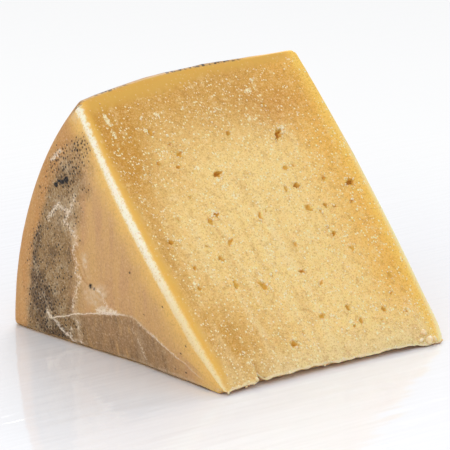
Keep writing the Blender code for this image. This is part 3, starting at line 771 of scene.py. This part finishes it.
# Painted light: a whiter glow painted at the +X border of the upper cut
PASTE_EDGE_GLOW = paint(255, 240, 190)
PASTE_TIP = paint(236, 212, 156)
PASTE_CREAM = paint(252, 226, 168)
PASTE_DARK = paint(176, 120, 40)
# The eyes' walls are a deeper gold than the paste, and painted darker still towards their bottoms as painted
# shade.
EYE_INSIDE = paint(230, 180, 78)
EYE_DEEP_SHADE = paint(208, 142, 50)
SPECK_WHITE = paint(255, 243, 202)
THIN_CREAM = paint(250, 228, 186)
RIND_TAN = paint(216, 170, 108)
RIND_PINK = paint(208, 160, 110)
RIND_GOLD = paint(244, 196, 108)
STRIP_CREAM_AND_HIGHLIGHT = paint(255, 246, 222)
STRIP_LOW = paint(248, 224, 172)
STRIP_HALO = paint(246, 210, 138)
STRIP_GRIT = paint(206, 176, 124)
RIND_LOW = paint(166, 130, 90)
RIND_GREY = paint(150, 118, 74)
MOULD_PALE = paint(196, 174, 140)
RIND_DARK = paint(92, 68, 44)
RIND_SHOULDER = paint(202, 147, 85)
BLOOM_WHITE = paint(226, 202, 168)
THREAD_WHITE = paint(250, 232, 208)
MOULD_BLACK = paint(30, 22, 18)
GOLD_BROWN = paint(176, 122, 56)
# Painted shadow: the contact shadow along the rind's bottom edge
FOOT_SHADOW = paint(48, 34, 26)
# Painted light: the broken underside of the tip is painted a light cream, in place of the light that shines
# through the thin tip.
UNDERSIDE_PAINTED_LIGHT = paint(244, 192, 126)

tree, surface = new_finish(mesh, "cheese", {
    "Subsurface Radius": (1.0, 0.55, 0.18), "Subsurface Scale": 0.004, "Specular IOR Level": 0.25,
})
where = put(tree, "ShaderNodeTexCoord").outputs["Object"]
part = {name: put(tree, "ShaderNodeAttribute", attribute_name=name).outputs["Fac"] for name in shares}
grain = put(tree, "ShaderNodeGroup", {"Speckled": minus(tree, part["dry"], part["gold"])}, node_tree=curd)
on_gold = times(tree, part["gold"], minus(tree, 1.0, part["painted_glow"]))
plain = minus(tree, 1.0, on_gold)
soft = times(tree, maths(tree, "MAXIMUM", part["dry"], part["far_side"]), -0.45, plain)
crumbly = times(tree, part["eye_rim"], 0.30, times(tree, part["crumb"], 0.8, -0.45))
crumbly = times(tree, noise(tree, where, 1700.0, 2.0, 0.6), 2.0, crumbly)
paste = coats(
    tree, PASTE_PALE,
    (part["dry"], PASTE_DRY),
    (part["far_side"], PASTE_FAR),
    (times(tree, part["burnt"], 0.6), PASTE_BURNT),
    (ramp(tree, part["streak"], 0.0, 0.7, 0.0, 0.40), PASTE_CREAM),
    (ramp(tree, part["streak"], 0.0, -0.7, 0.0, 0.20), PASTE_DARK),
    (times(tree, part["ridge"], 0.45), PASTE_CREAM),
    (times(tree, part["tip"], 0.8), PASTE_TIP),
    (ramp(tree, grain.outputs["Blotch"], 0.50, 0.32, 0.0, 0.30), PASTE_DARK),
    (ramp(tree, grain.outputs["Blotch"], 0.52, 0.70, 0.0, 0.45), PASTE_CREAM),
    (part["painted_glow"], PASTE_PAINTED_GLOW),
    (times(tree, plain, ramp(tree, grain.outputs["Grit"], 0.50, 0.32, 0.0, 0.44)), PASTE_DARK),
    (times(tree, soft, ramp(tree, grain.outputs["Grit"], 0.52, 0.70, 0.0, 0.70)), PASTE_CREAM),
    (on_gold, mix(tree, part["halo"], PASTE_GOLD, PASTE_HALO)),
    (times(tree, grain.outputs["Speck"], times(tree, on_gold, -0.75, 0.85)), SPECK_WHITE),
    (ramp(tree, crumbly, 0.98, 1.22, 0.0, 0.9), SPECK_WHITE),
    # painted shade on the low side of the step at the crack
    (times(tree, part["crack"], 0.55), PASTE_DARK),
    (times(tree, part["thin_edge"], 0.8), THIN_CREAM),
    (part["undercut"], UNDERSIDE_PAINTED_LIGHT),
    # eyes: deeper gold walls, with painted shade towards the bottom
    (ramp(tree, part["eye"], 0.03, 0.40), EYE_INSIDE),
    (ramp(tree, part["eye"], 0.5, 1.0), EYE_DEEP_SHADE),
)

FINE_RELIEF = 0.0002
STREAK_LEAN = np.radians(-16)
LOW_LEAN = np.radians(18)
thick = times(tree, part["dense"], 0.60, times(tree, part["mould"], 0.42))
cloth_place = put(tree, "ShaderNodeAttribute", attribute_name="cloth").outputs["Vector"]
cloth_marks = put(tree, "ShaderNodeGroup", {"Vector": cloth_place, "Thickness": thick}, node_tree=marks)
rind_streaks = noise(tree, mapped(tree, where, (STREAK_LEAN, 0, 0), (1, 1, 0.16)), 210.0, 4.0, 0.65)
low_streaks = noise(tree, mapped(tree, where, (LOW_LEAN, 0, 0), (1, 1, 0.2)), 480.0, 3.0, 0.6)
mottle = noise(tree, where, 260.0, 4.0, 0.7)
fine = noise(tree, where, 1500.0, 3.0, 0.7)
fine_share = times(tree, part["mould"], 0.25, times(tree, part["below_crease"], 0.16, 0.20))
flecked = ramp(tree, noise(tree, where, 700.0, 4.0, 0.75), 0.36, 0.62, 0.15, 1.0)
smudged = times(tree, minus(tree, fine, 0.5), -0.8, part["smudge"])
thread = times(tree, minus(tree, fine, 0.5), 2.2, part["threads"])
off_crease = maths(tree, "ADD", minus(tree, noise(tree, where, 500.0, 3.0, 0.6), 0.5), part["over_crease"])
on_crease = ramp(tree, maths(tree, "ABSOLUTE", off_crease), 0.32, 0.06)
on_crease = times(tree, on_crease, ramp(tree, fine, 0.36, 0.56, 0.35, 1.0))
low = part["below_crease"]
tint = part["tint"]
rind_colour = coats(
    tree, RIND_TAN,
    (ramp(tree, rind_streaks, 0.35, 0.65), RIND_PINK),
    # painted shade under the crease, with lighter and darker streaks in it
    (times(tree, low, ramp(tree, rind_streaks, 0.7, 0.4, 0.7, 1.0)), RIND_LOW),
    (times(tree, low, ramp(tree, low_streaks, 0.54, 0.70, 0.0, 0.5)), RIND_TAN),
    (times(tree, low, ramp(tree, low_streaks, 0.46, 0.30, 0.0, 0.45)), RIND_DARK),
    (times(tree, tint, 0.9), RIND_GREY),
    (times(tree, times(tree, part["dense"], tint), 0.75), RIND_DARK),
    (times(tree, tint, ramp(tree, mottle, 0.50, 0.34, 0.0, 0.55)), RIND_DARK),
    (times(tree, tint, ramp(tree, mottle, 0.50, 0.66, 0.0, 0.55)), MOULD_PALE),
    (times(tree, part["shoulder"], ramp(tree, rind_streaks, 0.35, 0.6, 0.55, 1.0)), RIND_SHOULDER),
    (part["gold_side"], RIND_GOLD),
    (times(tree, ramp(tree, fine, 0.52, 0.32), fine_share), RIND_DARK),
    (times(tree, ramp(tree, fine, 0.50, 0.70), fine_share), BLOOM_WHITE),
    (times(tree, part["bloom"], flecked), BLOOM_WHITE),
    (times(tree, part["gold_line"], 0.7), GOLD_BROWN),
    (times(tree, cloth_marks.outputs["Faint"], times(tree, part["mould"], 0.22)), MOULD_BLACK),
    (times(tree, cloth_marks.outputs["Dot"], 0.95), MOULD_BLACK),
    (ramp(tree, smudged, 0.25, 0.6), MOULD_BLACK),
    (ramp(tree, thread, 0.20, 1.0, 0.0, 0.85), THREAD_WHITE),
    (times(tree, on_crease, part["crease_white"]), THREAD_WHITE),
    (part["spots"], MOULD_BLACK),
    (part["painted_foot_shadow"], FOOT_SHADOW),
)

strip_grit = minus(tree, noise(tree, where, 1500.0, 3.0, 0.75), 0.5)
strip_level = times(tree, strip_grit, 1.5, part["strip"])
# the strip's cream: partly the worn border, partly a painted highlight where it rounds over
strip_colour = coats(
    tree, STRIP_HALO,
    (ramp(tree, strip_level, 0.45, 1.05), mix(tree, part["low_strip"], STRIP_CREAM_AND_HIGHLIGHT, STRIP_LOW)),
    (ramp(tree, strip_grit, -0.05, -0.20, 0.0, 0.6), STRIP_GRIT),
)
rim_spots = ramp(tree, noise(tree, where, 900.0, 2.0, 0.6), 0.52, 0.44)
rim_spots = times(tree, rim_spots, ramp(tree, noise(tree, where, 90.0, 1.0), 0.28, 0.50))
colour = coats(
    tree, paste,
    (part["rind"], rind_colour),
    (part["painted_edge_glow"], PASTE_EDGE_GLOW),
    (ramp(tree, part["strip"], 0.0, 0.7), strip_colour),
    (times(tree, part["rim_line"], 0.5), RIND_LOW),
    (times(tree, part["rim_line"], rim_spots), MOULD_BLACK),
)
rind_height = times(tree, cloth_marks.outputs["Weave"], times(tree, part["mould"], 0.5, 0.15), fine)
rind_height = times(tree, cloth_marks.outputs["Dot"], -0.6, rind_height)
rind_height = times(tree, rind_height, maths(tree, "MAXIMUM", part["rind"], part["strip"]))
paste_share = times(tree, plain, minus(tree, 1.0, part["rind"]))
height = times(tree, grain.outputs["Height"], paste_share, rind_height)
bump = put(tree, "ShaderNodeBump", {"Height": height, "Strength": 0.8, "Distance": FINE_RELIEF})
clear = times(tree, part["undercut"], 0.6, ramp(tree, part["rind"], 0.0, 1.0, 0.30, 0.12))
tree.links.new(colour, surface.inputs["Base Color"])
tree.links.new(ramp(tree, part["rind"], 0.0, 1.0, 0.45, 0.55), surface.inputs["Roughness"])
tree.links.new(bump.outputs["Normal"], surface.inputs["Normal"])
tree.links.new(clear, surface.inputs["Subsurface Weight"])

wedge = new_object("sheep_cheese", mesh)
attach(wedge, "root")
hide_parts("cheese_wedge")


# ---- The crumbs --------------------------------------------------------------------------------------
# Crumbs of paste that the knife dragged loose and left on the cut: thick in the crumbly patches, round
# the eyes and along the broken tip, and a few big ones at the tip's far end.

CRUMB_SEED = 3
CRUMB_COUNT = 340
CRUMB_RADIUS = (0.14, 0.42)
BIG_CRUMBS = ((34.8, 2.6, 0.9), (37.2, 1.9, 1.15), (36.9, 4.6, 1.0), (39.9, 2.0, 0.8), (-31.6, 3.0, 0.6))
CRUMB_LIFT = 0.3

ball = bmesh.new()
bmesh.ops.create_icosphere(ball, subdivisions=2, radius=1.0)
ball_mesh = bpy.data.meshes.new("crumb_ball")
ball.to_mesh(ball_mesh)
ball.free()
ball_corners = read_places(ball_mesh)
ball_faces = np.array([face.vertices[:] for face in ball_mesh.polygons])
bpy.data.meshes.remove(ball_mesh)

normal = read_places(mesh, "vertex_normals", "vector")
reach_out = np.hypot(place[:, 1] - HUB_Y, place[:, 2])
chance_here = faces_up * (1 - gold) * (0.004 + 0.02 * rimward + 0.8 * crumb ** 2 + 0.5 * upper_rim ** 4)
chance_here = (chance_here + 0.25 * thin_edge * smooth_step(-0.2, 0.6, wobble)) * (upper_depth < 0.05)
draw_crumbs = np.random.default_rng(CRUMB_SEED)
spots_taken = draw_crumbs.choice(len(place), CRUMB_COUNT, replace=False, p=chance_here / chance_here.sum())
radii = draw_crumbs.uniform(0, 1, CRUMB_COUNT) ** 2 * (CRUMB_RADIUS[1] - CRUMB_RADIUS[0]) + CRUMB_RADIUS[0]
for crumb_x, crumb_reach, radius in BIG_CRUMBS:
    away = np.hypot(x - crumb_x, reach_out - crumb_reach) + 9 * (faces_up < 0.5)
    spots_taken = np.append(spots_taken, np.argmin(away))
    radii = np.append(radii, radius)
count = len(radii)
turns = draw_crumbs.normal(size=(count, 3, 3))
turns = np.linalg.qr(turns)[0]
turns *= np.sign(np.linalg.det(turns))[:, None, None]
stretch = draw_crumbs.uniform(0.65, 1.35, (count, 1, 3))
crumb_corners = (ball_corners[None] * stretch) @ turns * radii[:, None, None]
seeded = (crumb_corners + 30.0 * np.arange(count)[:, None, None]).reshape(-1, 3)
bumps = 1 + 0.30 * layered_noise(seeded, 0.6, 2, seed=30).reshape(count, -1, 1)
middles = place[spots_taken] + normal[spots_taken] * (CRUMB_LIFT * radii)[:, None]
crumb_corners = (crumb_corners * bumps + middles[:, None]).reshape(-1, 3)
crumb_corners[:, 2] = np.maximum(crumb_corners[:, 2], 0.0)
crumb_faces = (ball_faces[None] + len(ball_corners) * np.arange(count)[:, None, None]).reshape(-1, 3)
crumb_mesh = bpy.data.meshes.new("paste_crumbs")
crumb_mesh.from_pydata(crumb_corners * MM, [], crumb_faces)
crumb_mesh.shade_smooth()

CRUMB_PALE = paint(252, 234, 198)
CRUMB_GOLD = paint(240, 206, 146)
tree, surface = new_finish(crumb_mesh, "cheese_crumbs", {
    "Roughness": 0.45, "Subsurface Weight": 0.3, "Subsurface Radius": (1.0, 0.6, 0.3),
    "Subsurface Scale": 0.0015,
})
where = put(tree, "ShaderNodeTexCoord").outputs["Object"]
crumb_tone = ramp(tree, noise(tree, where, 600.0, 2.0), 0.35, 0.65)
tree.links.new(mix(tree, crumb_tone, CRUMB_PALE, CRUMB_GOLD), surface.inputs["Base Color"])
crumbs = new_object("paste_crumbs", crumb_mesh)
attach(crumbs, "root")


# ---- The setting -------------------------------------------------------------------------------------
# A white table of poured plastic, faintly rippled and painted greyer near the wedge as a painted shadow,
# under a bright sky of studio light. One broad light stands behind the wedge at +X, and a weaker one at
# the left in front.

FLOOR_HALF = 6.0
TABLE_NEAR_SHADOW = (0.87, 0.88, 0.92, 1.0)
TABLE_FAR = (0.95, 0.955, 0.965, 1.0)
RIPPLE_HEIGHT = 0.0006
CAMERA_AZIMUTH = -40.24
CAMERA_ELEVATION = 14.25
floor_mesh = bpy.data.meshes.new("floor")
floor_corners = FLOOR_HALF * np.array(((-1, -1, 0), (1, -1, 0), (1, 1, 0), (-1, 1, 0)))
floor_mesh.from_pydata(floor_corners, [], [(0, 1, 2, 3)])
floor = new_object("floor", floor_mesh)
tree, table = new_finish(floor_mesh, "white_table", {"Roughness": 0.06, "Specular IOR Level": 0.35})
where = put(tree, "ShaderNodeTexCoord").outputs["Object"]
far_off = put(tree, "ShaderNodeVectorMath", {0: where}, operation="LENGTH").outputs["Value"]
# painted shadow: the table is greyer near the wedge and fades to its own white further off
tree.links.new(mix(tree, ramp(tree, far_off, 0.08, 0.30), TABLE_NEAR_SHADOW, TABLE_FAR), table.inputs["Base Color"])
across = mapped(tree, where, (0, 0, np.radians(-CAMERA_AZIMUTH)), (18, 120, 1))
ripple_inputs = {"Height": noise(tree, across, 1.0, 2.0), "Distance": RIPPLE_HEIGHT}
ripple_inputs["Strength"] = ramp(tree, far_off, 0.12, 0.34, 0.6, 0.03)
ripple = put(tree, "ShaderNodeBump", ripple_inputs)
tree.links.new(ripple.outputs["Normal"], table.inputs["Normal"])

SKY_STRENGTH = 0.775
world = bpy.data.worlds.new("studio")
world.use_nodes = True
sky = world.node_tree.nodes["Background"]
sky.inputs["Color"].default_value = (1.0, 1.0, 1.0, 1.0)
sky.inputs["Strength"].default_value = SKY_STRENGTH
bpy.context.scene.world = world


def aim_from(azimuth, elevation):
    """Direction towards a compass angle and a height angle, and the rotation that looks back from there."""
    turn, rise = np.radians((azimuth, elevation))
    away = np.array((np.sin(turn) * np.cos(rise), -np.cos(turn) * np.cos(rise), np.sin(rise)))
    return away, (np.pi / 2 - rise, 0, turn)


def add_light(name, kind, energy, azimuth, elevation, distance=1.0, **shape):
    """A light that shines back from its two angles and its distance."""
    lamp = bpy.data.lights.new(name, kind)
    lamp.energy = energy
    for setting, value in shape.items():
        setattr(lamp, setting, value)
    light = new_object(name, lamp)
    away, light.rotation_euler = aim_from(azimuth, elevation)
    light.location = away * distance


add_light("back_light", "SUN", energy=1.4, azimuth=138.0, elevation=36.0, angle=np.radians(30))
add_light("front_light", "AREA", energy=3.2, azimuth=-60.0, elevation=45.0, distance=1.2, size=1.0)

CAMERA_AWAY = 1.0575
CAMERA_LENS = 272.3
LOOK_AT = (0.0, HUB_Y * MM + 0.0525, 0.03)
LOOK_RIGHT = 0.00104
LOOK_DOWN = 0.00447
lens = bpy.data.cameras.new("camera")
lens.lens = CAMERA_LENS
lens.sensor_width = 36.0
lens.clip_end = 50.0
camera = new_object("camera", lens)
back, camera.rotation_euler = aim_from(CAMERA_AZIMUTH, CAMERA_ELEVATION)
aside = np.cross((0.0, 0.0, 1.0), back) / np.cos(np.radians(CAMERA_ELEVATION))
upward = np.cross(back, aside)
camera.location = np.array(LOOK_AT) + back * CAMERA_AWAY - aside * LOOK_RIGHT + upward * LOOK_DOWN
bpy.context.scene.camera = camera
bpy.context.scene.view_settings.view_transform = "Standard"
